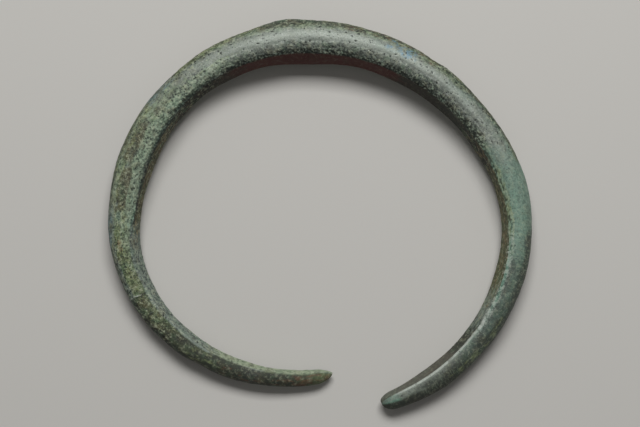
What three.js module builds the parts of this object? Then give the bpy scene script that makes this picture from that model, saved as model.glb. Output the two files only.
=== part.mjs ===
// A bronze neck ring with open ends, lying flat. It is one solid bar, cast and bent round, thick
// behind the neck and tapering to two plain ends. Millimetres, +Z up. The thick middle of the bar
// is at +Y and the gap between the ends at -Y.
import * as THREE from 'three';

// The bar's run, from the pointed end round to the blunt one. turn: degrees clockwise from the
// middle, reach: from the neck's centre to the bar's own centre, breadth: across the bar in plan.
const STATIONS = [
  { turn: -184.4, reach: 58.1, breadth: 4.8 },
  { turn: -160, reach: 62.3, breadth: 7.2 },
  { turn: -132, reach: 67.8, breadth: 9.1 },
  { turn: -104, reach: 71.4, breadth: 10.7 },
  { turn: -76, reach: 69.6, breadth: 13.5 },
  { turn: -44, reach: 67.3, breadth: 13.6 },
  { turn: -10, reach: 63.9, breadth: 15.1 },
  { turn: 24, reach: 62.6, breadth: 14.6 },
  { turn: 56, reach: 65.1, breadth: 13.0 },
  { turn: 90, reach: 70.9, breadth: 11.5 },
  { turn: 122, reach: 72.2, breadth: 10.4 },
  { turn: 148, reach: 72.2, breadth: 8.9 },
  { turn: 162.4, reach: 72.0, breadth: 6.6 },
];
const DEPTH_TO_BREADTH = 1.02;

// Around the bar, angles are counted from its outer side over the top: 0 outer, 90 top, 180 inner.
const UPPER_ARRIS_MIDDLE = 139; // where the flat inner face meets the rounded top
const UPPER_ARRIS_POINTED = 118;
const UPPER_ARRIS_BLUNT = 117;
const LOWER_ARRIS = 199;
const POINTED_ARM_TURN = [-103, -86]; // the arris crosses over between these turns
const BLUNT_ARM_TURN = [78, 117];
const CRISPNESS_MIDDLE = 26; // the arris is worn soft behind the neck and stays crisp on the arms
const CRISPNESS_ARMS = 60;
const CRISPNESS_TURN = [60, 130];
const TOP_FACE = { from: 62, to: 116, crispness: 14 }; // the hammered top of the pointed arm
const TOP_FACE_TURN = [-150, -126, -52, -30]; // it starts, is full, begins to fade and ends

// Local form: each is a soft bump or hollow centred on a turn and an angle around the bar.
const FEATURES = [
  { turn: -11, halfTurn: 9, around: 5, halfAround: 48, height: 1.4 }, // swelling behind the neck
  { turn: -4, halfTurn: 13, around: 190, halfAround: 50, height: 1.2 }, // its inner side
  { turn: -141, halfTurn: 4, around: 0, halfAround: 60, height: -0.7 }, // hollow on the thin arm
  { turn: -124, halfTurn: 5, around: 0, halfAround: 60, height: 0.4 }, // knuckle next to it
  { turn: 37, halfTurn: 3, around: 10, halfAround: 50, height: -0.5 }, // dent on the outer side
];
// The unevenness of a hand-worked bar. length: in degrees of turn, twist: how far it winds round.
const WAVES = [
  { height: 0.09, length: 20, twist: 2, phase: 0 },
  { height: 0.09, length: 36, twist: -1.5, phase: 1 },
];

// Ends: over this length the bar rounds off, towards a tip set inwards from the bar's centre.
const POINTED_END = { length: 5.6, roundness: 1.6, inset: 0.3 };
const BLUNT_END = { length: 5.2, roundness: 2.2, inset: 1.0 };

// Where the underside rests. The bar sags this far at each spot and is worn flat there.
const UNDERSIDE_LIFT = 0.35;
const REST_SAG = 0.95;
const REST_HALF_LENGTH = 11;
const REST_TURNS = [-128, -2, 126];

const RING_PITCH = 3.1; // along the bar
const END_RINGS = 7;
const INNER_FACE_STEPS = 6;
const ROUND_STEPS = 20;

const BRONZE = { color: 0x6e7a5c, roughness: 0.6, metalness: 0.55 };

const { degToRad, smoothstep, lerp } = THREE.MathUtils;
const FIRST_TURN = STATIONS[0].turn;
const LAST_TURN = STATIONS[STATIONS.length - 1].turn;

const run = new THREE.CubicInterpolant(
  STATIONS.map((station) => station.turn),
  STATIONS.flatMap((station) => [station.reach, station.breadth]),
  2,
);

/** The bar's centre in plan, and its breadth, at a turn. */
function barAt(turn) {
  const [reach, breadth] = run.evaluate(turn);
  const angle = degToRad(turn);
  const centre = new THREE.Vector2(reach * Math.sin(angle), reach * Math.cos(angle));
  return { centre, breadth };
}

/** The direction out of the neck, square to the bar in plan. */
function outwardAt(turn) {
  const step = 0.5;
  const ahead = barAt(Math.min(turn + step, LAST_TURN)).centre;
  const along = ahead.sub(barAt(Math.max(turn - step, FIRST_TURN)).centre).normalize();
  return new THREE.Vector2(-along.y, along.x);
}

/** How far a soft bump has risen at a distance from its centre, 1 at the centre. */
function bump(distance, halfWidth) {
  return Math.exp(-2 * (distance / halfWidth) ** 2);
}

/** The shortest way between two angles, in degrees. */
function apart(a, b) {
  return Math.abs(((a - b + 540) % 360) - 180);
}

/** A flat face's reach, where the round bar's is 1, or nothing where it faces away. */
function flatFace(around, from, to) {
  const facing = (from + to) / 2;
  const halfAngle = degToRad((to - from) / 2);
  return Math.max(0, Math.cos(degToRad(apart(around, facing)))) / Math.cos(halfAngle);
}

/** The angle of the arris along the inner face's upper edge. */
function upperArris(turn) {
  const onPointedArm = 1 - smoothstep(turn, ...POINTED_ARM_TURN);
  const onBluntArm = smoothstep(turn, ...BLUNT_ARM_TURN);
  const arris = lerp(UPPER_ARRIS_MIDDLE, UPPER_ARRIS_POINTED, onPointedArm);
  return lerp(arris, UPPER_ARRIS_BLUNT, onBluntArm);
}

/** How worn or crisp the arris is. */
function crispness(turn) {
  return lerp(CRISPNESS_MIDDLE, CRISPNESS_ARMS, smoothstep(Math.abs(turn), ...CRISPNESS_TURN));
}

/** The size of the section at an angle around the bar, where the round bar's is 1. */
function sectionAt(turn, around) {
  const sharp = crispness(turn);
  const inner = flatFace(around, upperArris(turn), LOWER_ARRIS) ** sharp;
  const [start, full, fade, end] = TOP_FACE_TURN;
  const hammered = smoothstep(turn, start, full) * (1 - smoothstep(turn, fade, end));
  const top = hammered * flatFace(around, TOP_FACE.from, TOP_FACE.to) ** TOP_FACE.crispness;
  return (1 + inner) ** (-1 / sharp) * (1 + top) ** (-1 / TOP_FACE.crispness);
}

/** The rise of all the waves, bumps and hollows, in millimetres. */
function featuresAt(turn, around) {
  let rise = 0;
  for (const wave of WAVES) {
    const winding = wave.twist * Math.sin(degToRad(around)) + wave.phase;
    rise += wave.height * Math.sin((2 * Math.PI * turn) / wave.length + winding);
  }
  for (const feature of FEATURES) {
    const near = bump(turn - feature.turn, feature.halfTurn);
    rise += feature.height * near * bump(apart(around, feature.around), feature.halfAround);
  }
  return rise;
}

/** How much of the bar's section is left at a distance from its tip. */
function endTaper(distance, end) {
  const past = Math.max(0, 1 - distance / end.length);
  return (1 - past ** end.roundness) ** (1 / end.roundness);
}

/** The angles around the bar, so that a point of each ring lies on each arris. */
function anglesAround(turn) {
  const upper = upperArris(turn);
  const angles = [];
  for (let i = 0; i < INNER_FACE_STEPS; i += 1) {
    angles.push(lerp(upper, LOWER_ARRIS, i / INNER_FACE_STEPS));
  }
  for (let i = 0; i < ROUND_STEPS; i += 1) {
    angles.push(lerp(LOWER_ARRIS, upper + 360, i / ROUND_STEPS));
  }
  return angles;
}

/** How far the underside sags towards the surface at the places that it rests on. */
function sagAt(centre) {
  let sag = 0;
  for (const turn of REST_TURNS) {
    sag += REST_SAG * bump(centre.distanceTo(barAt(turn).centre), REST_HALF_LENGTH);
  }
  return sag;
}

/** One ring of points around the bar. taper and inset shape the ends. */
function ringAt(turn, taper, inset) {
  const { centre, breadth } = barAt(turn);
  const outward = outwardAt(turn);
  const halfBreadth = breadth / 2;
  const halfDepth = halfBreadth * DEPTH_TO_BREADTH;
  const middleHeight = halfDepth + UNDERSIDE_LIFT;
  const sag = sagAt(centre) * taper;
  const tipShift = inset * (1 - taper) ** 2;
  return anglesAround(turn).map((around) => {
    const size = sectionAt(turn, around) * taper;
    const rise = featuresAt(turn, around) * taper;
    const angle = degToRad(around);
    const out = Math.cos(angle) * (halfBreadth * size + rise) - tipShift;
    const underneath = Math.max(0, -Math.sin(angle)) ** 4;
    const up = Math.sin(angle) * (halfDepth * size + rise) - sag * underneath;
    const height = Math.max(0, middleHeight + up);
    return new THREE.Vector3(centre.x + outward.x * out, centre.y + outward.y * out, height);
  });
}

/** The bar's length from its pointed tip, for a fine run of turns. */
function lengths() {
  const turns = [FIRST_TURN];
  const reached = [0];
  const steps = 720;
  for (let i = 1; i <= steps; i += 1) {
    const turn = lerp(FIRST_TURN, LAST_TURN, i / steps);
    const stride = barAt(turn).centre.distanceTo(barAt(turns[i - 1]).centre);
    turns.push(turn);
    reached.push(reached[i - 1] + stride);
  }
  return { turns, reached };
}

/** Every ring from the pointed end to the blunt one, close together over the rounded ends. */
function rings() {
  const { turns, reached } = lengths();
  const whole = reached[reached.length - 1];
  const turnAt = new THREE.LinearInterpolant(reached, turns, 1);
  const places = [];
  for (let i = 0; i < END_RINGS; i += 1) {
    const fromTip = 1 - Math.cos((Math.PI / 2) * ((i + 0.45) / END_RINGS));
    places.push(POINTED_END.length * fromTip, whole - BLUNT_END.length * fromTip);
  }
  const plain = whole - POINTED_END.length - BLUNT_END.length;
  const count = Math.round(plain / RING_PITCH);
  for (let i = 0; i <= count; i += 1) {
    places.push(POINTED_END.length + (plain * i) / count);
  }
  places.sort((a, b) => a - b);
  return places.map((place) => {
    const [turn] = turnAt.evaluate(place);
    const nearPoint = place < whole / 2;
    const end = nearPoint ? POINTED_END : BLUNT_END;
    const taper = endTaper(nearPoint ? place : whole - place, end);
    return ringAt(turn, taper, end.inset);
  });
}

/** A closed skin over the rings, with a small fan at each tip. */
function skin(allRings) {
  const around = allRings[0].length;
  const points = allRings.flat();
  const faces = [];
  for (let r = 0; r < allRings.length - 1; r += 1) {
    for (let i = 0; i < around; i += 1) {
      const here = r * around + i;
      const next = r * around + ((i + 1) % around);
      faces.push(here, next, next + around, here, next + around, here + around);
    }
  }
  const capped = [
    { ring: allRings[0], first: 0, flip: true },
    { ring: allRings[allRings.length - 1], first: (allRings.length - 1) * around, flip: false },
  ];
  for (const { ring, first, flip } of capped) {
    const tip = points.length;
    const middle = new THREE.Vector3();
    ring.forEach((point) => middle.addScaledVector(point, 1 / around));
    points.push(middle);
    for (let i = 0; i < around; i += 1) {
      const a = first + i;
      const b = first + ((i + 1) % around);
      faces.push(tip, ...(flip ? [b, a] : [a, b]));
    }
  }
  const geometry = new THREE.BufferGeometry().setFromPoints(points);
  geometry.setIndex(faces);
  geometry.computeVertexNormals();
  return geometry;
}

/** The torc itself: one solid piece of cast bronze, its outline centred over the origin. */
function torc() {
  const geometry = skin(rings());
  geometry.computeBoundingBox();
  const middle = geometry.boundingBox.getCenter(new THREE.Vector3());
  const mesh = new THREE.Mesh(geometry, new THREE.MeshStandardMaterial(BRONZE));
  mesh.name = 'torc';
  mesh.position.set(-middle.x, -middle.y, 0);
  return mesh;
}

const object = new THREE.Group();
object.add(torc());

export default object;
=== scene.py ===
import math

import bmesh
import bpy
import numpy as np
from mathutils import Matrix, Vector, noise


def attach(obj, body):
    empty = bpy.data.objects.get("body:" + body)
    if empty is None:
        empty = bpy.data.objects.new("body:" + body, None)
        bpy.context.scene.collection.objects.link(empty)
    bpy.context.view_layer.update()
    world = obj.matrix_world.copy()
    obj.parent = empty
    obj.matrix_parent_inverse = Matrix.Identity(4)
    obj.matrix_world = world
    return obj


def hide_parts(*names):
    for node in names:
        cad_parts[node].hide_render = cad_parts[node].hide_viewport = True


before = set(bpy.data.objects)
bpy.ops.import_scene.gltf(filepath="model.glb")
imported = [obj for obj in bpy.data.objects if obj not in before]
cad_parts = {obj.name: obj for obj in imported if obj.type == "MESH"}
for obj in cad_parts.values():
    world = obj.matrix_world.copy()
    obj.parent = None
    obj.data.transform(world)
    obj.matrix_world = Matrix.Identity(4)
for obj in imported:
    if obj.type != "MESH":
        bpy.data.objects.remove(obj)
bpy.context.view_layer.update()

# A bronze torc: one bar cast and bent into an open neck ring, lying flat. It was long in the
# ground, so compact grey-green patina, verdigris, crust and brown oxide lie over the metal.
#
# Places on the bar are given by turn, around and side.
#   turn:   degrees clockwise from the middle of the back, -184 at the pointed end, 162 at the blunt one
#   around: degrees around the bar, 0 outwards, 90 up, 180 inwards, 270 down
#   side:   0 at the outer edge, 100 at the upper arris, 200 at the lower arris, 400 at the outer edge again

MM = 0.001
UPPER, LOWER, WHOLE = 100, 200, 400    # side at the upper arris, at the lower one and once round the bar

# ---------------------------------------------------------------- the bar's own shape

NECK_CENTRE = (0.08, -0.66)       # mm, the middle of the neck space that turns are taken about
GAP_TURN = 169.0                  # the gap between the two ends
POINTED_TURN = -184.4
BLUNT_TURN = 162.4
STATION_STEP = 3.0                # degrees of turn between stations on the bar's middle line
STATION_REACH = 2.2               # degrees of turn that a station gathers points from
END_ROUNDING = 6.0                # mm of bar that the rounded ends take up

ARRIS_MIDDLE = 139.0              # around the bar, where the top meets the inner face
ARRIS_POINTED = 118.0
ARRIS_BLUNT = 117.0
LOWER_ARRIS = 199.0               # where the inner face meets the underside
POINTED_ARM = (-103.0, -86.0)     # turns over which the arris moves up on to the arm
BLUNT_ARM = (78.0, 117.0)

MERGE = 0.01 * MM                 # loose corners closer than this are one point
FLAT_PAIR = math.radians(60)      # two triangles that bend less than this become one face
ARRIS_FOLD = math.radians(17)     # a sharper fold than this is an arris
ARRIS_CREASE = 0.55               # how far an arris is kept when the skin is smoothed
SKIN_LEVELS = 2

# Parts of the skin with the finest relief, divided once more: turn from, to, side from, to
FINE_RELIEF = [
    (-62, 68, 62, 106),
    (-132, -62, 14, 102),
    (-48, 58, 32, 62),
    (101, 128, 84, 110),
    (126, 160, 93, 107),
]

# ---------------------------------------------------------------- where each finish lies
# turn from, turn to, softness of the ends; side from, side to, softness; how much
# Those called FACE lie only on the flat inner face.

SATIN = [
    (-34, 62, 28, 54, 74, 24, 1.0),
    (72, 128, 12, 15, 85, 12, 0.4),
    (124, 160, 8, 78, 96, 8, 0.6),
]
VERDIGRIS = [
    (84, 124, 22, -8, 97, 10, 1.0),
    (26, 66, 18, 8, 60, 20, 0.25),
    (-108, -50, 20, 74, 96, 14, 0.45),
    (-114, -94, 12, 10, 60, 20, 0.4),
    (157, 163, 4, -60, 205, 20, 0.8),
]
PALE_GREEN = [
    (-94, -40, 20, 72, 90, 9, 0.85),
    (-112, -62, 18, 10, 40, 14, 0.5),
    (-70, -56, 14, 30, 66, 16, 0.45),
    (-24, 40, 14, 6, 44, 16, 0.4),
    (54, 98, 10, 86, 99, 6, 0.55),
    (-98, -62, 8, 150, 200, 16, 0.5),
]
OLIVE = [
    (-150, -118, 8, 8, 95, 12, 1.0),
    (-118, -98, 8, 54, 90, 10, 1.0),
    (-118, -98, 8, 0, 54, 10, 0.5),
    (-98, -60, 16, 2, 72, 16, 0.45),
    (-58, -34, 8, -15, 34, 12, 0.8),
    (-10, 44, 12, -20, 36, 20, 0.6),
    (-184, -164, 6, 10, 104, 8, 0.9),
    (36, 70, 8, -25, 26, 14, 0.7),
]
YELLOW_GREEN = [
    (-112, -92, 8, 54, 80, 10, 0.42),
    (-98, -62, 12, 14, 46, 14, 0.35),
    (-60, -32, 12, 26, 76, 16, 0.2),
    (124, 138, 6, 32, 50, 8, 0.38),
    (-44, -20, 10, -10, 30, 16, 0.5),
    (4, 44, 12, -10, 34, 16, 0.3),
    (78, 96, 6, 86, 99, 6, 0.35),
    (-147, -138, 6, 30, 94, 14, 0.25),
]
BROWN = [
    (-88, -79, 4, 50, 65, 10, 0.85),
    (-74, -66, 4, 45, 61, 10, 0.75),
    (-104, -92, 8, 46, 62, 12, 0.3),
    (-58, -46, 6, 48, 66, 12, 0.35),
    (-132, -120, 8, 26, 86, 14, 0.42),
    (-162, -148, 8, 15, 90, 14, 0.3),
    (142, 164, 10, -20, 60, 16, 0.4),
]
RUST = [
    (-185, -172, 5, 20, 95, 14, 0.42),
    (-166, -150, 8, 10, 80, 14, 0.25),
    (12, 36, 8, 12, 40, 10, 0.35),
    (-80, -52, 10, 130, 190, 14, 0.3),
]
# A painted red reflection on the dark inner face at the back of the neck
FACE_PAINTED_RED_REFLECTION = [
    (-40, 36, 22, 102, 210, 4, 1.0),
]
# Painted shade on the inner face, with a painted shadow line under the arris
FACE_PAINTED_SHADE = [
    (-84, -40, 18, 103, 210, 5, 1.0),
    (-94, -70, 12, 103, 124, 10, 1.0),
    (38, 78, 16, 103, 210, 5, 1.0),
    (127, 141, 6, 103, 210, 5, 1.0),
]
FACE_OLIVE = [
    (86, 112, 18, 103, 210, 5, 1.0),
    (-96, -70, 22, 116, 210, 12, 0.6),
]
FACE_PALE = [
    (-186, -170, 8, 126, 210, 8, 1.0),
    (-170, -146, 18, 108, 210, 6, 1.0),
]
BLUE_GREY = [
    (-130, -106, 22, 98, 210, 8, 1.0),
    (-115, -90, 6, 6, 42, 12, 0.58),
    (-58, -49, 6, 12, 38, 10, 0.5),
    (116, 125, 8, 102, 210, 5, 0.5),
]
FACE_GREY_BROWN = [
    (142, 164, 10, 102, 210, 5, 0.9),
]
AZURITE = [
    (23.5, 31.5, 3, 40, 58, 8, 0.95),
    (-98, -93, 3, 18, 36, 8, 0.4),
    (-57, -52, 3, 18, 36, 6, 0.3),
]
# Dark grey-green patina, and painted shade: the rows along the outer edges, on the inner face and beside
# the upper arris darken the bar to stand in for shade.
DARKENED_BY_SHADE_AND_PATINA = [
    (128, 164, 26, -20, 54, 22, 1.0),
    (110, 144, 14, 44, 84, 12, 0.7),
    (-170, -146, 12, -20, 92, 14, 0.9),
    (-146, -132, 8, -20, 88, 14, 0.75),
    (100, 164, 10, -90, 36, 24, 1.0),
    (-146, -98, 14, -80, 32, 20, 1.0),
    (-98, -68, 16, -80, 18, 22, 0.75),
    (-68, 60, 20, -60, 26, 24, 0.7),
    (-34, 34, 14, 86, 100, 10, 0.35),
    (36, 60, 12, 72, 100, 12, 0.4),
    (-98, -40, 14, 130, 210, 20, 0.6),
    (40, 82, 14, 130, 210, 20, 0.7),
]
CRUST = [
    (-62, -30, 12, 93, 99, 13, 0.72),
    (-34, 42, 10, 94, 99, 11, 0.92),
    (42, 66, 6, 88, 99, 10, 0.9),
    (-98, -60, 8, 78, 98, 10, 0.45),
    (62, 90, 10, 92, 99, 6, 0.8),
]
SHADED_ARRIS = [
    (-80, -42, 12, 95, 104, 4, 0.9),
    (-38, 60, 8, 97, 103, 2, 0.5),
]
# Worn ridges with a painted highlight: a pale line along the arris of each arm
RIDGE_WEAR_AND_HIGHLIGHT = [
    (127, 152, 8, 95.5, 102.0, 4.5, 1.0),
    (-176, -112, 12, 98, 103, 3, 0.4),
]
SPECKLED_RIDGE = [
    (99, 125, 8, 88, 112, 8, 0.62),
]
OCHRE = [
    (-101.5, -99.5, 1.5, 60, 68, 5, 0.8),
    (66, 118, 10, 106, 190, 12, 0.32),
    (-96, -60, 10, 118, 190, 12, 0.32),
]
SCRATCHED = [
    (94, 108, 8, 10, 70, 20, 0.7),
    (134, 148, 6, 0, 84, 14, 0.35),
    (-120, -64, 10, 10, 92, 14, 0.35),
]
GRAIN = [
    (-126, -58, 14, 66, 100, 10, 0.8),
    (-126, -100, 10, 20, 66, 16, 0.85),
    (-100, -64, 8, 20, 66, 16, 0.65),
    (-64, -44, 10, 20, 66, 16, 0.45),
    (-58, -44, 10, 66, 100, 10, 0.9),
    (-126, -44, 14, 100, 200, 10, 0.75),
    (-126, -44, 14, 200, 410, 16, 0.5),
    (-46, 66, 14, -10, 34, 26, 0.8),
    (-46, 66, 14, -60, -10, 26, 0.5),
    (-46, 66, 14, 79, 100, 8, 0.72),
    (66, 130, 14, -40, 100, 10, 0.3),
    (66, 130, 14, 100, 210, 6, 0.45),
    (130, 164, 10, -40, 210, 20, 0.12),
    (-185, -132, 12, -40, 96, 8, 0.28),
    (-185, -132, 12, 104, 210, 8, 0.6),
]
FINISHES = {
    "satin": SATIN,
    "verdigris": VERDIGRIS,
    "pale_green": PALE_GREEN,
    "olive": OLIVE,
    "yellow_green": YELLOW_GREEN,
    "brown": BROWN,
    "rust": RUST,
    "face_painted_red_reflection": FACE_PAINTED_RED_REFLECTION,
    "face_painted_shade": FACE_PAINTED_SHADE,
    "face_olive": FACE_OLIVE,
    "face_pale": FACE_PALE,
    "blue_grey": BLUE_GREY,
    "face_grey_brown": FACE_GREY_BROWN,
    "azurite": AZURITE,
    "darkened_by_shade_and_patina": DARKENED_BY_SHADE_AND_PATINA,
    "crust": CRUST,
    "shaded_arris": SHADED_ARRIS,
    "ridge_wear_and_highlight": RIDGE_WEAR_AND_HIGHLIGHT,
    "speckled_ridge": SPECKLED_RIDGE,
    "ochre": OCHRE,
    "scratched": SCRATCHED,
    "grain": GRAIN,
}

# The edges of the finishes wander by this much, over this distance along the bar
WANDER_TURN = 3.0                 # degrees
WANDER_SIDE = 6.0                 # of side
WANDER_SIZE = 7.0                 # mm
ARRIS_STEADY = 12                 # of side, over which the wander dies away towards the upper arris
CRUST_STOPS = (99, 103)           # side, where the crust ends at the upper arris

# ---------------------------------------------------------------- relief, in mm

HAMMER_HEIGHT, HAMMER_SIZE = 0.06, 15.0
LUMP_HEIGHT, LUMP_SIZE = 0.05, 4.2
ROUGH_HEIGHT, ROUGH_SIZE = 0.16, 2.1
GRAIN_HEIGHT, GRAIN_SIZE = 0.15, 0.95
GRAIN_LEFT = 0.15                 # of the grain's height, where the patina is compact

# The crust is a mass of small round grains with hollows between them
CRUST_HEIGHT, CRUST_SIZE = 0.40, 0.80
CRUST_LEVEL = 0.45                # of a grain's size, how far from its centre the crust is at mid height
CRUST_ROUGH = 0.55                # how much a finer grain breaks it up
CRUST_ROUGH_SIZE = GRAIN_SIZE * 0.62
HOLLOW_LEVEL, HOLLOW_DEPTH = 0.5, 1.7  # darkness at mid height, and how much darker each step down is
CLUSTER_SHARE, CLUSTER_SIZE = 0.35, CRUST_SIZE * 3  # how far the hollows gather, and over what size

PIT_DEPTH, PIT_SPACING, PIT_RADIUS = 0.28, 1.3, 0.34
PIT_SIZES = (0.7, 1.3)            # of PIT_RADIUS, the smallest and the largest pit
PIT_BOTTOM = 0.4                  # of a pit's radius
PIT_SHARE = 0.7                   # of the places a pit could be
PIT_WANDER = 3.0                  # mm, keeps the pits out of rows
PIT_GROUND = 0.9                  # how far satin or grainy patina is pitted
PIT_FILLED = 0.7                  # how far verdigris fills the pits

CRACK_TURN, CRACK_WIDTH, CRACK_DEPTH = -115.5, 0.40, 0.11
CRACK_WANDER, CRACK_WANDER_SIZE = 0.5, 3.0
CRACK_SLANT, CRACK_SIDE = 0.014, 50    # mm along the bar for each step of side, from this side
CRACK_REACH = (0, 82, 8)          # side from, side to, softness
LIP_HEIGHT, LIP_AWAY = 0.22, CRACK_WIDTH * 1.5
LIP_REACH = (0, 76, 12)

GROOVE_WIDTH, GROOVE_DEPTH, GROOVE_WANDER, GROOVE_SOFT = 0.28, 0.16, 0.3, 6
GROOVES = [                       # turn and side where each starts, turn and side where it ends
    (-131.0, 16, -123.5, 90),
    (-124.5, 24, -129.5, 84),
    (-84.0, 78, -72.0, 92),
]
# Fine ripples beside the crack, and slots along the arris of the other arm, both along a wave whose
# crests are bent by this many radians over this distance; where they lie is as for a finish
RIPPLE_PITCH, RIPPLE_HEIGHT, RIPPLE_BEND, RIPPLE_BEND_SIZE = 1.1, 0.06, 2.5, 5.0
RIPPLED = [(-121, -97, 5, 16, 94, 10, 1.0)]
SLOT_PITCH, SLOT_DEPTH, SLOT_BEND, SLOT_BEND_SIZE = 4.0, 0.3, 3.0, 6.0
SLOT_LEVEL = 0.35                 # height of the wave where a slot opens
SLOT_DARK = 0.9
SLOTTED = [(101, 127, 3, 96, 104, 4, 1.0)]
FLOOR_CLEAR = (0.05, 0.6)         # mm above the floor where relief starts and where it is at full height
CHANCE_STEP = 7.3                 # spreads grain centres far enough apart to have chances of their own


def smooth(low, high, value):
    """0 below low, 1 above high, and a smooth rise between them."""
    share = np.clip((value - low) / (high - low), 0, 1)
    return share * share * (3 - 2 * share)


def between(value, low, high, soft):
    """1 from low to high, fading to 0 over soft on either side."""
    return smooth(low - soft, low, value) * (1 - smooth(high, high + soft, value))


def arris_around(turn):
    """Where around the bar the upper arris runs."""
    pointed = 1 - smooth(*POINTED_ARM, turn)
    blunt = smooth(*BLUNT_ARM, turn)
    middle = ARRIS_MIDDLE + (ARRIS_POINTED - ARRIS_MIDDLE) * pointed
    return middle + (ARRIS_BLUNT - ARRIS_MIDDLE) * blunt


def side_of(turn, around):
    """The side, from the angle around the bar, in even shares of its top, inner face and underside."""
    upper = arris_around(turn)
    top = UPPER * around / upper
    inner = UPPER + (LOWER - UPPER) * (around - upper) / (LOWER_ARRIS - upper)
    under = LOWER + (WHOLE - LOWER) * (around - LOWER_ARRIS) / (360 - LOWER_ARRIS)
    return np.where(around < upper, top, np.where(around < LOWER_ARRIS, inner, under))


class BarLine:
    """The middle line of the bar, found from the skin's own points, and places measured from it."""

    def __init__(self, points):
        """Stations along the bar with turn, reach, height and half thickness, from points in mm."""
        turn, reach = self.turn_and_reach(points)
        height = points[:, 2]
        stations = np.arange(POINTED_TURN + STATION_STEP, BLUNT_TURN, STATION_STEP)
        rows = []
        for station in stations:
            near = np.abs(turn - station) < STATION_REACH
            rows.append((
                station,
                (reach[near].max() + reach[near].min()) / 2,
                (height[near].max() + height[near].min()) / 2,
                (reach[near].max() - reach[near].min()) / 2,
            ))
        line = np.array(rows)
        line[1:-1, 1:] = (line[:-2, 1:] + line[1:-1, 1:] * 2 + line[2:, 1:]) / 4
        line = line[1:-1]
        before = line[0] * 2 - line[2]
        after = line[-1] * 2 - line[-3]
        self.turns, self.reaches, self.heights, self.halves = np.vstack([before, line, after]).T
        steps = np.hypot(
            np.radians(np.diff(self.turns)) * (self.reaches[1:] + self.reaches[:-1]) / 2,
            np.diff(self.reaches),
        )
        self.lengths = np.concatenate([[0], np.cumsum(steps)])

    @staticmethod
    def turn_and_reach(points):
        """turn, and mm from the middle of the neck space."""
        x = points[:, 0] - NECK_CENTRE[0]
        y = points[:, 1] - NECK_CENTRE[1]
        turn = np.degrees(np.arctan2(x, y))
        turn = np.where(turn > GAP_TURN, turn - 360, turn)
        return turn, np.hypot(x, y)

    def places(self, points):
        """turn, around, mm along and mm out from the middle line, for points in mm."""
        turn, reach = self.turn_and_reach(points)
        outwards = reach - np.interp(turn, self.turns, self.reaches)
        upwards = points[:, 2] - np.interp(turn, self.turns, self.heights)
        around = np.degrees(np.arctan2(upwards, outwards)) % 360
        return turn, around, self.along_at(turn), np.hypot(outwards, upwards)

    def along_at(self, turn):
        """mm along the bar at a turn."""
        return np.interp(turn, self.turns, self.lengths)

    def half_thickness(self, turn):
        """mm from the middle line to the bar's skin."""
        return np.interp(turn, self.turns, self.halves)


def points_of(mesh):
    """The mesh's points in mm."""
    flat = np.empty(len(mesh.vertices) * 3)
    mesh.vertices.foreach_get("co", flat)
    return flat.reshape(-1, 3) / MM


def normals_of(mesh):
    """The way the skin faces at each point."""
    flat = np.empty(len(mesh.vertices) * 3)
    mesh.vertex_normals.foreach_get("vector", flat)
    return flat.reshape(-1, 3)


def field(points, size, seed):
    """Smooth noise from -1 to 1 whose bumps are size mm across."""
    shifted = points / size + seed
    return np.array([noise.noise(Vector(p)) for p in shifted])


def cells(points, size, seed):
    """Distance to the nearest grain centre, and a chance from 0 to 1 for that grain."""
    nearest, chance = [], []
    for p in points / size + seed:
        distances, centres = noise.voronoi(Vector(p))
        nearest.append(distances[0])
        chance.append(noise.cell(centres[0] * CHANCE_STEP) * 0.5 + 0.5)
    return np.array(nearest), np.array(chance)


def zone(rows, turn, side):
    """How much of a finish lies at each place."""
    amount = np.zeros(len(turn))
    for turn_from, turn_to, turn_soft, low, high, soft, most in rows:
        centred = (side - (low + high) / 2 + WHOLE / 2) % WHOLE - WHOLE / 2
        half = (high - low) / 2
        here = between(turn, turn_from, turn_to, turn_soft) * between(centred, -half, half, soft)
        amount = np.maximum(amount, here * most)
    return amount


# ---------------------------------------------------------------- the bar

def merged_copy(node, name):
    """A copy of the node's skin with its loose triangles joined up."""
    mesh = node.data.copy()
    mesh.name = name
    mesh.materials.clear()
    bar = bpy.data.objects.new(name, mesh)
    bpy.context.scene.collection.objects.link(bar)
    shell = bmesh.new()
    shell.from_mesh(mesh)
    bmesh.ops.remove_doubles(shell, verts=shell.verts, dist=MERGE)
    bmesh.ops.join_triangles(
        shell, faces=shell.faces, angle_face_threshold=FLAT_PAIR,
        angle_shape_threshold=FLAT_PAIR, cmp_seam=False, cmp_sharp=False,
        cmp_uvs=False, cmp_vcols=False, cmp_materials=False,
    )
    creases = shell.edges.layers.float.new("crease_edge")
    for edge in shell.edges:
        if edge.is_manifold and edge.calc_face_angle() > ARRIS_FOLD:
            edge[creases] = ARRIS_CREASE
    bmesh.ops.recalc_face_normals(shell, faces=shell.faces)
    shell.to_mesh(mesh)
    shell.free()
    return bar


def fine_skin(bar):
    """The skin smoothed and divided, and once more where the relief is finest."""
    divide = bar.modifiers.new("skin", "SUBSURF")
    divide.levels = SKIN_LEVELS
    divide.render_levels = SKIN_LEVELS
    divide.use_limit_surface = False
    ready = bar.evaluated_get(bpy.context.evaluated_depsgraph_get())
    mesh = bpy.data.meshes.new_from_object(ready)
    bar.modifiers.clear()
    rough = bar.data
    bar.data = mesh
    line = BarLine(points_of(rough))
    mesh.name = rough.name + "_skin"
    bpy.data.meshes.remove(rough)
    shell = bmesh.new()
    shell.from_mesh(mesh)
    centres = np.array([face.calc_center_median() for face in shell.faces]) / MM
    turn, around, _, _ = line.places(centres)
    side = side_of(turn, around)
    fine = np.zeros(len(turn), bool)
    for turn_from, turn_to, low, high in FINE_RELIEF:
        fine |= (turn > turn_from) & (turn < turn_to) & (side > low) & (side < high)
    edges = {edge for face, chosen in zip(shell.faces, fine) if chosen for edge in face.edges}
    bmesh.ops.subdivide_edges(shell, edges=list(edges), cuts=1, use_grid_fill=True)
    shell.to_mesh(mesh)
    shell.free()
    return line


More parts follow.
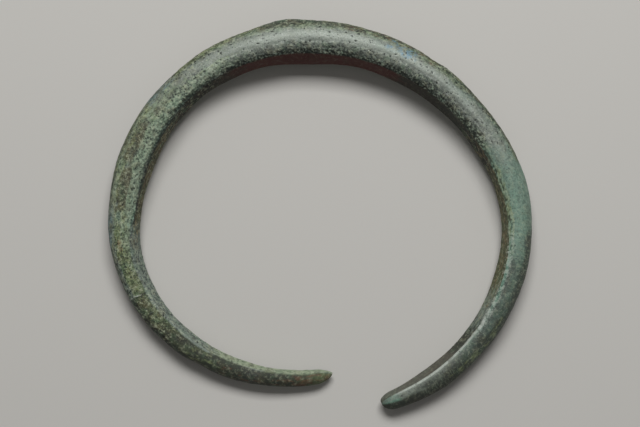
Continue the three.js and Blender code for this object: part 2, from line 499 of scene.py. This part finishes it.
def corroded_pits(straight, wander, wander_across, finish):
    """Small round pits, denser where the patina is satin or grainy, and none in the crust."""
    bent = straight + PIT_WANDER * np.column_stack([wander, wander_across, wander * wander_across])
    near, chance = cells(bent, PIT_SPACING, seed=21.0)
    size = PIT_RADIUS / PIT_SPACING * np.interp(chance, (0, PIT_SHARE), PIT_SIZES)
    pit = (1 - smooth(size * PIT_BOTTOM, size, near)) * (chance < PIT_SHARE)
    pit *= np.clip(PIT_GROUND * (finish["satin"] + finish["grain"]), 0, 1) * (1 - finish["crust"])
    return pit * (1 - PIT_FILLED * finish["verdigris"])


def cross_crack(straight, along, side, line):
    """The crack across the arm with the pointed end, and the lip that stands up beside it."""
    away = along - line.along_at(CRACK_TURN)
    away += CRACK_WANDER * field(straight, CRACK_WANDER_SIZE, seed=31.0)
    away += CRACK_SLANT * (side - CRACK_SIDE)
    crack = (1 - smooth(0, CRACK_WIDTH, np.abs(away))) * between(side, *CRACK_REACH)
    lip = (1 - smooth(0, CRACK_WIDTH, np.abs(away - LIP_AWAY))) * between(side, *LIP_REACH)
    return crack, lip


def short_grooves(along, side, wander, line):
    """The short slanting grooves on the same arm."""
    groove = np.zeros(len(along))
    for turn_from, side_from, turn_to, side_to in GROOVES:
        share = (side - side_from) / (side_to - side_from)
        middle = line.along_at(turn_from + (turn_to - turn_from) * share)
        across = np.abs(along - middle + GROOVE_WANDER * wander)
        low, high = sorted((side_from, side_to))
        cut = (1 - smooth(0, GROOVE_WIDTH, across)) * between(side, low, high, GROOVE_SOFT)
        groove = np.maximum(groove, cut)
    return groove


def wave(straight, pitch, bend, bend_size, seed):
    """A wave along the bar, from -1 to 1, with crooked crests."""
    crooked = bend * field(straight, bend_size, seed)
    return np.sin(straight[:, 0] / pitch * 2 * math.pi + crooked)


def weathered(bar, line):
    """Relief of casting, hammering and corrosion, and the amount of each finish, on the bar's points."""
    mesh = bar.data
    points = points_of(mesh)
    turn, around, along, out = line.places(points)
    angle = np.radians(around)
    straight = np.column_stack([along, out * np.cos(angle), out * np.sin(angle)])
    side = side_of(turn, around)
    wander = field(straight, WANDER_SIZE, seed=3.0)
    wander_across = field(straight, WANDER_SIZE, seed=11.0)
    zone_turn = turn + WANDER_TURN * wander
    zone_side = side + WANDER_SIDE * wander_across * smooth(0, ARRIS_STEADY, np.abs(side - UPPER))
    finish = {name: zone(rows, zone_turn, zone_side) for name, rows in FINISHES.items()}
    finish["crust"] *= 1 - smooth(*CRUST_STOPS, side)

    grain_near, _ = cells(straight, CRUST_SIZE, seed=5.0)
    crust = (CRUST_LEVEL - grain_near) + CRUST_ROUGH * field(straight, CRUST_ROUGH_SIZE, seed=9.0)
    pit = corroded_pits(straight, wander, wander_across, finish)
    crack, lip = cross_crack(straight, along, side, line)
    groove = short_grooves(along, side, wander, line)
    ripple = wave(straight, RIPPLE_PITCH, RIPPLE_BEND, RIPPLE_BEND_SIZE, seed=33.0)
    ripple *= zone(RIPPLED, turn, side)
    slot = np.clip(wave(straight, SLOT_PITCH, SLOT_BEND, SLOT_BEND_SIZE, seed=35.0) - SLOT_LEVEL, 0, 1)
    slot *= zone(SLOTTED, turn, side)

    relief = HAMMER_HEIGHT * field(straight, HAMMER_SIZE, seed=13.0)
    relief += LUMP_HEIGHT * field(straight, LUMP_SIZE, seed=15.0)
    relief += ROUGH_HEIGHT * field(straight, ROUGH_SIZE, seed=17.0) * finish["grain"]
    grainy = GRAIN_LEFT + (1 - GRAIN_LEFT) * finish["grain"]
    relief += GRAIN_HEIGHT * field(straight, GRAIN_SIZE, seed=7.0) * grainy
    relief += CRUST_HEIGHT * crust * finish["crust"]
    relief += LIP_HEIGHT * lip
    relief += RIPPLE_HEIGHT * ripple
    relief -= PIT_DEPTH * pit
    relief -= CRACK_DEPTH * crack
    relief -= GROOVE_DEPTH * groove
    relief -= SLOT_DEPTH * slot
    relief *= smooth(*FLOOR_CLEAR, points[:, 2])
    moved = points + normals_of(mesh) * relief[:, None]
    moved[:, 2] = np.maximum(moved[:, 2], 0)
    mesh.vertices.foreach_set("co", (moved * MM).ravel())
    mesh.update()

    cluster = field(straight, CLUSTER_SIZE, seed=41.0)
    finish["hollow"] = np.clip(HOLLOW_LEVEL - HOLLOW_DEPTH * crust + CLUSTER_SHARE * cluster, 0, 1)
    finish["pit"] = pit
    finish["crack"] = np.maximum(crack, np.maximum(slot * SLOT_DARK, groove))
    finish["crack_lip"] = lip
    for name, amount in finish.items():
        attribute = mesh.attributes.new(name, "FLOAT", "POINT")
        attribute.data.foreach_set("value", amount.astype(np.float32))
    attribute = mesh.attributes.new("straight_bar", "FLOAT_VECTOR", "POINT")
    attribute.data.foreach_set("vector", straight.astype(np.float32).ravel())


# ---------------------------------------------------------------- the map that the finish is laid out on

MAP = "OFBake"                    # the name of the map; the name that the export looks for
ROWS = 3                          # the bar's length laid in rows on the map
ROW_MARGIN = 0.012                # of a row's length, left clear at its ends
ROW_EDGE = 0.03                   # of a row's height, left clear along its sides
UNDERSIDE = 270.0                 # around the bar, where the skin is cut open for the map
END_REACH = 9.0                   # mm past the last station that still belongs to an end
END_SHARE = 0.4                   # of END_ROUNDING, where an end starts to be laid out by its roundness
END_SOFT = 1.5                    # mm
AXIS = 0.25                       # mm from the middle line, too close to have a place around it


def lay_out_map(bar, line):
    """The skin opened along the underside and laid in rows, so that the map keeps its true proportions."""
    mesh = bar.data
    points = points_of(mesh)
    _, around, along, out = line.places(points)
    start, end = line.lengths[0], line.lengths[-1]
    rounded = END_ROUNDING * END_SHARE
    at_pointed = between(along, start - END_REACH, start + rounded, END_SOFT)
    at_blunt = between(along, end - rounded, end + END_REACH, END_SOFT)
    pointed_half = line.half_thickness(POINTED_TURN + STATION_STEP * 2)
    blunt_half = line.half_thickness(BLUNT_TURN - STATION_STEP * 2)
    length = along - at_pointed * np.clip(pointed_half - out, 0, None)
    length += at_blunt * np.clip(blunt_half - out, 0, None)
    length = (length - length.min()) / (length.max() - length.min())
    layout = mesh.uv_layers.new(name=MAP)
    corner_vertex = np.empty(len(mesh.loops), int)
    mesh.loops.foreach_get("vertex_index", corner_vertex)
    starts = np.array([face.loop_start for face in mesh.polygons])
    totals = np.array([face.loop_total for face in mesh.polygons])
    face_of_corner = np.repeat(np.arange(len(starts)), totals)
    centres = np.empty(len(starts) * 3)
    mesh.polygons.foreach_get("center", centres)
    _, centre_around, _, _ = line.places(centres.reshape(-1, 3) / MM)
    centre_open = (centre_around - UNDERSIDE) % 360
    centre_length = np.add.reduceat(length[corner_vertex], starts) / totals
    row = np.clip(np.floor(centre_length * ROWS), 0, ROWS - 1)[face_of_corner]
    turned = (around[corner_vertex] - UNDERSIDE - centre_open[face_of_corner] + 180) % 360 - 180
    turned = np.where(out[corner_vertex] < AXIS, 0, turned)
    across = (turned + centre_open[face_of_corner]) / 360
    u = ROW_MARGIN + (length[corner_vertex] * ROWS - row) * (1 - 2 * ROW_MARGIN)
    v = (row + ROW_EDGE + across * (1 - 2 * ROW_EDGE)) / ROWS
    both = np.column_stack([np.clip(u, 0, 1), np.clip(v, 0, 1)])
    layout.data.foreach_set("uv", both.ravel())


# ---------------------------------------------------------------- patinated bronze

def linear(hex_colour):
    """An sRGB hex colour as linear light."""
    parts = [int(hex_colour[k:k + 2], 16) / 255 for k in (1, 3, 5)]
    light = [p / 12.92 if p <= 0.04045 else ((p + 0.055) / 1.055) ** 2.4 for p in parts]
    return (*light, 1.0)


GREY_GREEN_PATINA = linear("#868f82")     # compact copper carbonate over the bronze
GREY_GREEN_DEEP = linear("#707a6f")
SATIN_GREY = linear("#80867f")            # rubbed, compact patina
SMOOTH_VERDIGRIS = linear("#6c9280")
PALE_CARBONATE = linear("#98a98f")
OLIVE_PATINA = linear("#57643c")
YELLOW_CARBONATE = linear("#8f9a6a")
BROWN_OXIDE = linear("#4a4631")
RUST_BROWN = linear("#6f4b35")
OCHRE_EARTH = linear("#877553")
# painted red reflection on the inner face
PAINTED_RED_REFLECTION = linear("#471009")
# painted shade on the inner face
INNER_PAINTED_SHADE = linear("#1f2016")
INNER_OLIVE = linear("#555838")
INNER_PALE = linear("#97a489")
BLUE_GREY_OXIDE = linear("#7a867d")
INNER_GREY_BROWN = linear("#56534a")
AZURITE_BLUE = linear("#5d849b")
# dark grey-green patina, also painted as shade
DARK_GREEN_PATINA_AND_SHADE = linear("#2e322c")
BLACK_HOLLOW = linear("#161d19")
CRUST_PALE = linear("#9db3a3")
# pale worn edges, also a painted highlight along the ridges
PALE_WEAR_AND_HIGHLIGHT = linear("#b2b9b0")
BURIAL_WHITE = linear("#b8bfa4")
GREEN_TINT = linear("#5b7b5c")
BROWN_TINT = linear("#6a6346")

# The finishes in the order that they lie over each other: finish, colour, size of its patches in mm,
# cover where it is fullest, softness of the patches' edges, and how broken up it is
LAYERS = [
    ("verdigris", SMOOTH_VERDIGRIS, 6.0, 0.9, 0.3, 1.0),
    ("satin", SATIN_GREY, 5.0, 0.6, 0.4, 0.8),
    ("olive", OLIVE_PATINA, 2.4, 0.85, 0.35, 1.4),
    ("pale_green", PALE_CARBONATE, 1.3, 0.65, 0.25, 1.8),
    ("brown", BROWN_OXIDE, 2.4, 0.85, 0.3, 1.1),
    ("darkened_by_shade_and_patina", DARK_GREEN_PATINA_AND_SHADE, 3.0, 0.9, 0.5, 1.2),
    ("yellow_green", YELLOW_CARBONATE, 1.3, 0.6, 0.25, 1.8),
    ("face_pale", INNER_PALE, 2.5, 0.95, 0.3, 1.0),
    ("face_painted_red_reflection", PAINTED_RED_REFLECTION, 2.5, 1.0, 0.5, 1.4),
    ("face_painted_shade", INNER_PAINTED_SHADE, 2.2, 0.9, 0.35, 1.2),
    ("face_olive", INNER_OLIVE, 2.2, 0.95, 0.35, 1.4),
    ("face_grey_brown", INNER_GREY_BROWN, 2.5, 0.9, 0.3, 1.0),
    ("blue_grey", BLUE_GREY_OXIDE, 1.5, 0.9, 0.3, 1.6),
    ("rust", RUST_BROWN, 1.2, 0.6, 0.2, 1.8),
    ("ochre", OCHRE_EARTH, 1.2, 0.7, 0.2, 2.0),
]
FIRST_SEED = 2                    # of the layers' patterns, one each from here on
SEED_STEPS = (1.0, 0.7, -1.0)     # which way a seed moves a pattern
PATCH_STRETCH = 2.2               # patches are longer along the bar, the way it was hammered and rubbed
PATCH_LEVEL = 0.45                # of a finish's amount, where its patches cover half
PATCH_START = 0.2                 # of a finish's amount, under which its patches fade out

# Patterns in the patina: size in mm, seed, levels of detail, how strong the detail is, and stretch
# along the bar, where one under 1 draws the pattern out around the bar. The grains of corrosion on
# real bronze are 0.1 to 0.5 mm across, too fine to show. They are drawn 1.5 mm, with detail down to
# their real size, and the fine grains of the satin patina 0.5 mm.
PATTERNS = {
    "depths": (5.0, 1.0, 3.0, 0.6, 1.0),
    "grains": (1.5, 30.0, 4.0, 0.85, 1.0),
    "tints": (3.4, 31.0, 3.0, 0.6, 1.0),
    "fine_grains": (0.5, 32.0, 2.0, 0.6, 1.0),
    "scratches": (2.4, 33.0, 2.0, 0.6, 0.16),
}
# Round spots, and the mm between them. Real pinholes are about 0.2 mm wide, too fine to show, and are
# drawn two to three times as wide.
SPOTS = {
    "dots": 1.25,
    "pinholes": 1.5,
}
# Finishes broken into islands by a pattern: the pattern, its levels where they start and where they
# are full, and the finish they lie in, or None for everywhere
ISLANDS = {
    "ridge_islands": ("tints", 0.3, 0.5, None),
    "lip_islands": ("grains", 0.38, 0.54, None),
    "azurite_islands": ("grains", 0.40, 0.54, "azurite"),
}
# Specks in the order that they lie over the layers: colour, the pattern or amount they follow, its
# levels where they start and where they are full, their cover, and the finish or islands they lie in
SPECKS = [
    (GREEN_TINT, "tints", 0.5, 0.66, 0.45, "granular"),
    (BROWN_TINT, "tints", 0.48, 0.34, 0.5, "granular"),
    (BLACK_HOLLOW, "grains", 0.49, 0.39, 0.95, "granular"),
    (BURIAL_WHITE, "grains", 0.52, 0.61, 0.72, "granular"),
    (BLACK_HOLLOW, "dots", 0.32, 0.20, 0.9, "granular"),
    (PALE_CARBONATE, "scratches", 0.54, 0.64, 0.6, "scratched"),
    (BLACK_HOLLOW, "shaded_arris", 0.0, 1.0, 0.6, None),
    (PALE_WEAR_AND_HIGHLIGHT, "ridge_wear_and_highlight", 0.2, 0.9, 0.9, "ridge_islands"),
    (PALE_WEAR_AND_HIGHLIGHT, "grains", 0.48, 0.56, 0.75, "speckled_ridge"),
    (BLACK_HOLLOW, "grains", 0.45, 0.38, 0.75, "speckled_ridge"),
    (PALE_WEAR_AND_HIGHLIGHT, "fine_grains", 0.5, 0.68, 0.3, "satin"),
    (GREY_GREEN_DEEP, "fine_grains", 0.5, 0.34, 0.6, "satin"),
    (AZURITE_BLUE, "tints", 0.42, 0.56, 0.9, "azurite_islands"),
    (BLACK_HOLLOW, "pinholes", 0.19, 0.11, 0.75, "satin"),
    (BLACK_HOLLOW, "hollow", 0.38, 0.8, 0.88, "crust"),
    (CRUST_PALE, "hollow", 0.3, 0.0, 0.45, "crust"),
    (BLACK_HOLLOW, "pit", 0.05, 0.5, 0.9, None),
    (BLACK_HOLLOW, "crack", 0.3, 0.9, 0.5, None),
    (PALE_WEAR_AND_HIGHLIGHT, "crack_lip", 0.2, 0.8, 0.85, "lip_islands"),
]
DEEPER = (0.35, 0.7)              # levels of the depths where the deeper grey-green starts and is full
SPECKS_LEAST, SPECKS_MORE = 0.14, 0.82  # share of the specks in compact patina, and what grain adds
DULL, GLOSSY = 0.58, 0.31         # least roughness of granular corrosion and of the satin patina
GRAIN_DULLNESS = 0.3              # roughness that the grains add
BARE_METAL = 0.22                 # how metallic the rubbed, satin patina is
BUMP = 0.5 * MM                   # height of a full grain
COVER, UNDER, OVER, MIXED = 0, 6, 7, 2  # the sockets of a node that mixes colours


def add_node(tree, kind, inputs=None, output=0, **settings):
    """Adds a node with its settings, and its inputs given as values or as the sockets that feed them."""
    node = tree.nodes.new(kind)
    for name, value in settings.items():
        setattr(node, name, value)
    for name, value in (inputs or {}).items():
        if isinstance(value, bpy.types.NodeSocket):
            tree.links.new(value, node.inputs[name])
        else:
            node.inputs[name].default_value = value
    return node.outputs[output] if node.outputs else None


def patinated_bronze():
    """Cast bronze, hammered, worn and buried: satin where the patina is compact, and dull,
    granular and pitted where corrosion has broken through it."""
    material = bpy.data.materials.new("patinated_bronze")
    material.use_nodes = True
    tree = material.node_tree
    tree.nodes.clear()
    place = add_node(tree, "ShaderNodeAttribute", output="Vector", attribute_name="straight_bar")
    amount = {
        name: add_node(tree, "ShaderNodeAttribute", output="Fac", attribute_name=name)
        for name in (*FINISHES, "hollow", "pit", "crack", "crack_lip")
    }

    def cloud(size, seed, detail=3.0, strength=0.6, stretch=1.0):
        """Cloudy variation about 0.5 with patches size mm across, its own for each seed."""
        moved = add_node(
            tree, "ShaderNodeVectorMath",
            {0: place, 1: (1 / stretch, 1, 1), 2: [seed * step for step in SEED_STEPS]},
            operation="MULTIPLY_ADD",
        )
        return add_node(
            tree, "ShaderNodeTexNoise",
            {"Vector": moved, "Scale": 1 / size, "Detail": detail, "Roughness": strength},
        )

    def patches(name, size, seed, most, edge, spread):
        """The cover of a finish that is broken into patches."""
        broken = add_node(
            tree, "ShaderNodeMath",
            {0: cloud(size, seed, stretch=PATCH_STRETCH), 1: spread, 2: -spread / 2},
            operation="MULTIPLY_ADD",
        )
        level = add_node(tree, "ShaderNodeMath", {0: amount[name], 1: broken}, operation="ADD")
        low, high = PATCH_LEVEL - edge, PATCH_LEVEL + edge
        cover = add_node(
            tree, "ShaderNodeMapRange",
            {"Value": level, "From Min": low, "From Max": high, "To Max": most},
            interpolation_type="SMOOTHSTEP",
        )
        present = add_node(tree, "ShaderNodeMapRange", {"Value": amount[name], "From Max": PATCH_START})
        return add_node(tree, "ShaderNodeMath", {0: cover, 1: present}, operation="MULTIPLY")

    def specks(followed, start, full, most, share):
        """The cover of specks that follow a pattern or an amount, times their share where they lie."""
        cover = add_node(
            tree, "ShaderNodeMapRange",
            {"Value": followed, "From Min": start, "From Max": full, "To Max": most},
            interpolation_type="SMOOTHSTEP",
        )
        return add_node(tree, "ShaderNodeMath", {0: cover, 1: share}, operation="MULTIPLY")

    for name, settings in PATTERNS.items():
        amount[name] = cloud(*settings)
    for name, spacing in SPOTS.items():
        amount[name] = add_node(tree, "ShaderNodeTexVoronoi", {"Vector": place, "Scale": 1 / spacing})
    for name, (followed, start, full, where) in ISLANDS.items():
        amount[name] = specks(amount[followed], start, full, 1.0, amount.get(where, 1.0))
    amount["granular"] = add_node(
        tree, "ShaderNodeMath", {0: amount["grain"], 1: SPECKS_MORE, 2: SPECKS_LEAST},
        operation="MULTIPLY_ADD",
    )

    coats = [(GREY_GREEN_DEEP, specks(amount["depths"], *DEEPER, 1.0, 1.0))]
    for seed, (name, colour, size, most, edge, spread) in enumerate(LAYERS, FIRST_SEED):
        coats.append((colour, patches(name, size, seed, most, edge, spread)))
    for colour, followed, start, full, most, where in SPECKS:
        coats.append((colour, specks(amount[followed], start, full, most, amount.get(where, 1.0))))
    body = GREY_GREEN_PATINA
    for colour, cover in coats:
        body = add_node(
            tree, "ShaderNodeMix", {COVER: cover, UNDER: body, OVER: colour},
            output=MIXED, data_type="RGBA",
        )

    gloss = add_node(
        tree, "ShaderNodeMapRange", {"Value": amount["satin"], "To Min": DULL, "To Max": GLOSSY},
    )
    roughness = add_node(
        tree, "ShaderNodeMath", {0: amount["grains"], 1: GRAIN_DULLNESS, 2: gloss},
        operation="MULTIPLY_ADD",
    )
    metallic = add_node(tree, "ShaderNodeMath", {0: amount["satin"], 1: BARE_METAL}, operation="MULTIPLY")
    height = add_node(
        tree, "ShaderNodeMath", {0: amount["grains"], 1: amount["granular"]}, operation="MULTIPLY",
    )
    normal = add_node(tree, "ShaderNodeBump", {"Height": height, "Distance": BUMP})
    skin = add_node(
        tree, "ShaderNodeBsdfPrincipled",
        {"Base Color": body, "Roughness": roughness, "Metallic": metallic, "Normal": normal},
    )
    add_node(tree, "ShaderNodeOutputMaterial", {"Surface": skin})
    return material


# ---------------------------------------------------------------- stage, in metres, degrees and watts

CARD = linear("#c9c7c2")
CARD_ROUGHNESS = 0.9
CARD_HALF = 2.0
KEY_LIGHT = (4, 57, 1.1, (0.75, 0.4), 10.0)      # azimuth, elevation, distance, size, power
FILL_LIGHT = (175, 50, 1.3, (1.0, 1.0), 0.4)
ROOM_COLOUR = (1.0, 0.99, 0.97, 1.0)
ROOM_LIGHT = 0.12
CAMERA_ELEVATION = 82.0
CAMERA_DISTANCE = 0.5
CAMERA_LENS = 77.5                # mm, on the usual 36 mm wide sensor
CAMERA_AIM = (0.0, -0.0008, 0.006)


def pale_floor():
    """A plain sheet of pale matt card under the torc."""
    mesh = bpy.data.meshes.new("pale_card")
    sheet = bmesh.new()
    bmesh.ops.create_grid(sheet, x_segments=1, y_segments=1, size=CARD_HALF)
    sheet.to_mesh(mesh)
    sheet.free()
    floor = bpy.data.objects.new("pale_card", mesh)
    bpy.context.scene.collection.objects.link(floor)
    card = bpy.data.materials.new("matt_card")
    card.use_nodes = True
    shader = card.node_tree.nodes["Principled BSDF"]
    shader.inputs["Base Color"].default_value = CARD
    shader.inputs["Roughness"].default_value = CARD_ROUGHNESS
    mesh.materials.append(card)


def aimed(name, data, direction, distance, aim=(0, 0, 0)):
    """A light or camera held off in a direction from the aim, and pointed back at it."""
    holder = bpy.data.objects.new(name, data)
    holder.location = Vector(aim) + direction * distance
    holder.rotation_euler = direction.to_track_quat("Z", "Y").to_euler()
    bpy.context.scene.collection.objects.link(holder)
    return holder


def soft_box(name, azimuth, elevation, distance, size, watts):
    """A rectangular soft light aimed at the torc; azimuth is clockwise from the back."""
    lamp = bpy.data.lights.new(name, "AREA")
    lamp.shape = "RECTANGLE"
    lamp.size, lamp.size_y = size
    lamp.energy = watts
    turn, lift = math.radians(azimuth), math.radians(elevation)
    direction = Vector((math.sin(turn) * math.cos(lift), math.cos(turn) * math.cos(lift), math.sin(lift)))
    aimed(name, lamp, direction, distance)


def studio():
    """A broad soft light from the back, a weak one from the front, and a dim even room."""
    soft_box("key", *KEY_LIGHT)
    soft_box("fill", *FILL_LIGHT)
    room = bpy.data.worlds.new("studio")
    room.use_nodes = True
    air = room.node_tree.nodes["Background"]
    air.inputs["Color"].default_value = ROOM_COLOUR
    air.inputs["Strength"].default_value = ROOM_LIGHT
    bpy.context.scene.world = room
    bpy.context.scene.view_settings.view_transform = "Standard"


def camera():
    """Looks down on the torc from a little to the front."""
    eye = bpy.data.cameras.new("camera")
    eye.lens = CAMERA_LENS
    lift = math.radians(CAMERA_ELEVATION)
    direction = Vector((0, -math.cos(lift), math.sin(lift)))
    bpy.context.scene.camera = aimed("camera", eye, direction, CAMERA_DISTANCE, CAMERA_AIM)


camera()
studio()
pale_floor()
torc = merged_copy(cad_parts["torc"], "torc_bronze")
middle_line = fine_skin(torc)
weathered(torc, middle_line)
lay_out_map(torc, middle_line)
torc.data.materials.append(patinated_bronze())
torc.data.shade_smooth()
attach(torc, "root")
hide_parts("torc")
